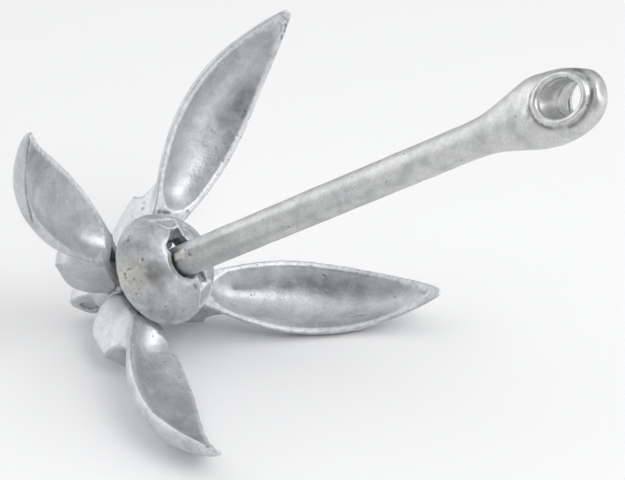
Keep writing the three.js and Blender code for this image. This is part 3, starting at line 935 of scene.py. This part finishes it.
class Nodes:
    """A short way to write a node tree."""

    def __init__(self, tree):
        self.tree = tree
        tree.nodes.clear()

    def add(self, kind, **settings):
        """A node: in_Name or in_0 sets an input, and any other name a setting."""
        node = self.tree.nodes.new(kind)
        for key, value in settings.items():
            if key.startswith("in_"):
                self.feed(node.inputs[self.number(key[3:])], value)
            else:
                setattr(node, key, value)
        return node

    @staticmethod
    def number(key):
        return int(key) if key.isdigit() else key.replace("_", " ")

    def feed(self, socket, value):
        if isinstance(value, bpy.types.NodeSocket):
            self.tree.links.new(value, socket)
        else:
            socket.default_value = value

    def noise(self, place, size, detail=2.0, rough=0.5, warp=0.0):
        """Noise whose lumps are about size millimetres."""
        node = self.add("ShaderNodeTexNoise", in_Vector=place, in_Scale=1 / (size * MM),
                        in_Detail=detail, in_Roughness=rough, in_Distortion=warp)
        return node.outputs["Fac"]

    def ramp(self, value, low, high, out_low=0.0, out_high=1.0):
        """From out_low to out_high while value goes from low to high."""
        node = self.add("ShaderNodeMapRange", in_0=value, in_1=low, in_2=high,
                        in_3=out_low, in_4=out_high)
        return node.outputs[0]

    def maths(self, operation, a, b=0.0):
        return self.add("ShaderNodeMath", operation=operation, in_0=a, in_1=b).outputs[0]

    def mix(self, share, a, b):
        """Colour a where share is 0, and b where it is 1."""
        node = self.add("ShaderNodeMix", data_type="RGBA")
        self.feed(node.inputs[0], share)
        self.feed(node.inputs[6], a)
        self.feed(node.inputs[7], b)
        return node.outputs[2]

    def mask(self, name):
        """A casting's own mask, which is 0 on a piece that has none."""
        return self.add("ShaderNodeAttribute", attribute_name=name).outputs["Fac"]


# What is mixed over a zinc's own two greys.
FRESH = (0.80, 0.81, 0.83, 1)
SPECK = (0.33, 0.34, 0.35, 1)
STAIN = (0.52, 0.51, 0.43, 1)
WORN_RIM = (0.90, 0.90, 0.92, 1)
SHADED = (0.40, 0.40, 0.42, 1)
# Warm rough zinc, and painted light on the lug's top face.
WARM = (0.80, 0.78, 0.71, 1)
DROSS = (0.86, 0.86, 0.84, 1)
# Painted highlight on edges, and the collar's worn patch.
EDGE_HIGHLIGHT_AND_WEAR = (0.95, 0.95, 0.96, 1)
PIT = (0.11, 0.11, 0.11, 1)
# Painted shade for recesses, grooves and the eye's bore, and the collar dome's dark stain.
SHADE_AND_STAIN = (0.13, 0.13, 0.14, 1)
PIT_SPACING = 3.2


def zinc_noises(n, place):
    """Noises that the colour, the sheen and the bumps share, from large to small."""
    return {
        "clouds": n.noise(place, 12, 3, 0.6, 0.6),
        "stain": n.noise(place, 9, 4, 0.65, 1.0),
        "patches": n.noise(place, 4.5, 3, 0.6),
        "grit": n.noise(place, 2.2, 4, 0.75),
        "grain": n.noise(place, 1.4, 2, 0.6),
        "speckle": n.noise(place, 0.9, 3, 0.7),
    }


def zinc_colour(n, noises, pale, dark, warm):
    """Clouds from dark to pale, with fresher patches, dark specks and warm stains."""
    colour = n.mix(n.ramp(noises["clouds"], 0.36, 0.64), dark, pale)
    colour = n.mix(n.ramp(noises["patches"], 0.42, 0.75, 0, 0.5), colour, FRESH)
    colour = n.mix(n.ramp(noises["speckle"], 0.45, 0.75, 0, 0.45), colour, SPECK)
    return n.mix(n.ramp(noises["stain"], 0.55, 0.8, 0, 0.35 * warm), colour, STAIN)


def masked_colour(n, noises, colour):
    """Worn rims, shaded hollows, warm rough patches, painted light on the lug's top face, gathered zinc,
    and painted highlights on edges, with a worn patch.
    """
    grit = noises["grit"]
    worn = n.maths("MULTIPLY", n.mask("rim"), n.ramp(grit, 0.35, 0.6))
    colour = n.mix(n.maths("MULTIPLY", worn, 0.6), colour, WORN_RIM)
    shade = n.maths("MULTIPLY", n.mask("hollow"), n.ramp(noises["clouds"], 0.7, 0.3, 0.0, 0.25))
    colour = n.mix(shade, colour, SHADED)
    # Warm rough patches, and painted light on the lug's top face.
    warm_spots_and_lit_lug = n.maths("MULTIPLY", n.mask("rough"), n.ramp(grit, 0.3, 0.55, 0.35, 0.8))
    colour = n.mix(warm_spots_and_lit_lug, colour, WARM)
    lumps = n.maths("MULTIPLY", n.mask("dross"), n.ramp(grit, 0.42, 0.56, 0, 0.85))
    colour = n.mix(lumps, colour, DROSS)
    # Painted highlights on edges, and the collar's worn patch.
    return n.mix(n.maths("MULTIPLY", n.mask("edge"), 0.85), colour, EDGE_HIGHLIGHT_AND_WEAR)


def zinc_pits(n, noises, place):
    """How deep a pit is: a few small pits all over, more in rough zinc, and the scars."""
    cells = n.add("ShaderNodeTexVoronoi", in_Vector=place, in_Scale=1 / (PIT_SPACING * MM))
    rare = n.ramp(n.noise(place, 6, 2), 0.56, 0.62)
    small = n.maths("MULTIPLY", n.ramp(cells.outputs["Distance"], 0.16, 0.08), rare)
    many = n.maths("MAXIMUM", n.mask("rough"), n.mask("dross"))
    dots = n.maths("MULTIPLY", n.ramp(noises["grit"], 0.40, 0.33), many)
    pit = n.maths("MAXIMUM", small, n.maths("MULTIPLY", dots, 0.8))
    return n.maths("MAXIMUM", pit, n.mask("scar"))


def zinc_roughness(n, noises, polish):
    """Rougher where it is patchy or speckled, and a little smoother in the hollows."""
    rough = n.ramp(noises["patches"], 0.3, 0.75, 0.36 - polish, 0.52 - polish)
    specks = n.maths("MULTIPLY", n.ramp(noises["speckle"], 0.3, 0.8), 0.1)
    rough = n.maths("ADD", rough, specks)
    return n.maths("SUBTRACT", rough, n.maths("MULTIPLY", n.mask("hollow"), 0.04))


def zinc_bump(n, noises, pit, grain):
    """Specks and patches that stand up, orange peel in the hollows, and the pits."""
    height = n.maths("MULTIPLY", noises["speckle"], grain)
    height = n.maths("ADD", height, n.maths("MULTIPLY", noises["patches"], 0.6))
    peel = n.maths("MULTIPLY", n.maths("MULTIPLY", noises["grain"], 0.7), n.mask("hollow"))
    height = n.maths("SUBTRACT", n.maths("ADD", height, peel), pit)
    bump = n.add("ShaderNodeBump", in_Height=height, in_Strength=0.35, in_Distance=0.35 * MM)
    return bump.outputs[0]


def zinc(name, pale, dark, grain=0.5, polish=0.0, warm=0.5):
    """Hot-dip zinc: cloudy greys, fine speckle, warm stains, pits and a rough sheen."""
    material = bpy.data.materials.new(name)
    material.use_nodes = True
    n = Nodes(material.node_tree)
    place = n.add("ShaderNodeTexCoord").outputs["Object"]
    noises = zinc_noises(n, place)
    pit = zinc_pits(n, noises, place)
    colour = masked_colour(n, noises, zinc_colour(n, noises, pale, dark, warm))
    colour = n.mix(n.maths("MULTIPLY", pit, 0.8), colour, PIT)
    # Painted shade in recesses and grooves, and the collar dome's dark stain, from each piece's deep mask.
    colour = n.mix(n.maths("MULTIPLY", n.mask("deep"), 0.8), colour, SHADE_AND_STAIN)
    shader = n.add("ShaderNodeBsdfPrincipled", in_Base_Color=colour, in_Metallic=0.9,
                   in_Roughness=zinc_roughness(n, noises, polish),
                   in_Normal=zinc_bump(n, noises, pit, grain))
    n.add("ShaderNodeOutputMaterial", in_Surface=shader.outputs[0])
    return material


def paint(piece, material):
    piece.data.materials.clear()
    piece.data.materials.append(material)


# ---------- floor, light and camera ----------

FLOOR_HALF = 6.0  # metres
FLOOR_COLOUR = (0.96, 0.96, 0.96, 1)


def make_floor():
    """A plain pale floor at the anchor's lowest point."""
    mesh = bpy.data.meshes.new("floor")
    half = FLOOR_HALF
    mesh.from_pydata([(-half, -half, 0), (half, -half, 0), (half, half, 0), (-half, half, 0)],
                     [], [(0, 1, 2, 3)])
    floor = bpy.data.objects.new("floor", mesh)
    bpy.context.scene.collection.objects.link(floor)
    material = bpy.data.materials.new("floor_pale")
    material.use_nodes = True
    shader = material.node_tree.nodes["Principled BSDF"]
    shader.inputs["Base Color"].default_value = FLOOR_COLOUR
    shader.inputs["Roughness"].default_value = 0.9
    mesh.materials.append(material)


# The one lamp, in metres and watts, aimed at the anchor's middle.
KEY_LAMP = {"place": (1.0, -0.35, 1.1), "size": 0.7, "power": 6, "target": (0, 0, 0.06)}


def make_lamp(name, place, size, power, target):
    light = bpy.data.lights.new(name, "AREA")
    light.shape = "DISK"
    light.size = size
    light.energy = power
    holder = bpy.data.objects.new(name, light)
    bpy.context.scene.collection.objects.link(holder)
    holder.location = place
    holder.rotation_euler = (Vector(target) - Vector(place)).to_track_quat("-Z", "Y").to_euler()


# The studio, in the row frame: how bright it is towards a direction, in degrees
# round and above the floor, full inside the first angle and gone at the second.
SKY_COLOUR = (0.985, 0.99, 1, 1)
STUDIO_BASE = 0.5
STUDIO_PATCHES = (
    {"round": 14, "above": 27, "full": 20, "gone": 36, "add": 1.35},
    {"round": -163, "above": 22, "full": 15, "gone": 46, "add": 1.1},
    {"round": -54, "above": 12, "full": 30, "gone": 46, "add": -0.44},
    {"round": 0, "above": 90, "full": 10, "gone": 45, "add": 0.4},
)


def make_world():
    """A white studio with softly bounded brighter and darker patches."""
    world = bpy.data.worlds.new("studio")
    bpy.context.scene.world = world
    world.use_nodes = True
    n = Nodes(world.node_tree)
    towards = n.add("ShaderNodeTexCoord").outputs["Generated"]
    total = STUDIO_BASE
    for patch in STUDIO_PATCHES:
        place = turned(z=patch["round"]) @ turned(y=-patch["above"]) @ Vector((1, 0, 0))
        near = n.add("ShaderNodeVectorMath", operation="DOT_PRODUCT", in_0=towards, in_1=place)
        edges = [math.cos(math.radians(patch[key])) for key in ("gone", "full")]
        fade = n.add("ShaderNodeMapRange", interpolation_type="SMOOTHSTEP",
                     in_0=near.outputs["Value"], in_1=edges[0], in_2=edges[1],
                     in_3=0.0, in_4=patch["add"])
        total = n.maths("ADD", fade.outputs[0], total)
    sky = n.add("ShaderNodeBackground", in_Color=SKY_COLOUR, in_Strength=total)
    n.add("ShaderNodeOutputWorld", in_Surface=sky.outputs[0])


# The camera's place and directions in the anchor's own frame, and its lens.
CAMERA_PLACE = (-553.2, -439.6, 901.5)
CAMERA_FORWARD = (0.5422, 0.416, -0.7301)
CAMERA_DOWN = (0.3497, -0.9017, -0.2541)
CAMERA_LENS = 149.8


def make_camera():
    """A long lens at the photograph's angle."""
    data = bpy.data.cameras.new("camera")
    data.sensor_width = 36
    data.lens = CAMERA_LENS
    data.clip_start = 0.01
    holder = bpy.data.objects.new("camera", data)
    bpy.context.scene.collection.objects.link(holder)
    back = -Vector(CAMERA_FORWARD).normalized()
    right = (-Vector(CAMERA_DOWN)).cross(back).normalized()
    axes = Matrix((right, back.cross(right), back)).transposed().to_4x4()
    place, turn, _ = (ANCHOR @ Matrix.Translation(CAMERA_PLACE) @ axes).decompose()
    holder.matrix_world = Matrix.Translation(place * MM) @ turn.to_matrix().to_4x4()
    bpy.context.scene.camera = holder


make_camera()
bpy.context.scene.view_settings.view_transform = "Standard"
make_world()
make_floor()
make_lamp("key", **KEY_LAMP)

CASTING = zinc("zinc_casting", (0.66, 0.67, 0.68, 1), (0.50, 0.51, 0.52, 1))
BAR = zinc("zinc_bar", (0.66, 0.66, 0.645, 1), (0.49, 0.50, 0.495, 1),
           grain=0.4, polish=0.02, warm=1.2)
COLLAR = zinc("zinc_collar", (0.63, 0.65, 0.67, 1), (0.36, 0.38, 0.40, 1),
              grain=0.35, polish=-0.06)

for number in FLUKES:
    paint(make_fluke(number), CASTING)
    paint(frame["nodes"][f"pivot_pin_{number}"], BAR)
paint(make_crown(), CASTING)
paint(make_shank(), BAR)
paint(make_collar(), COLLAR)
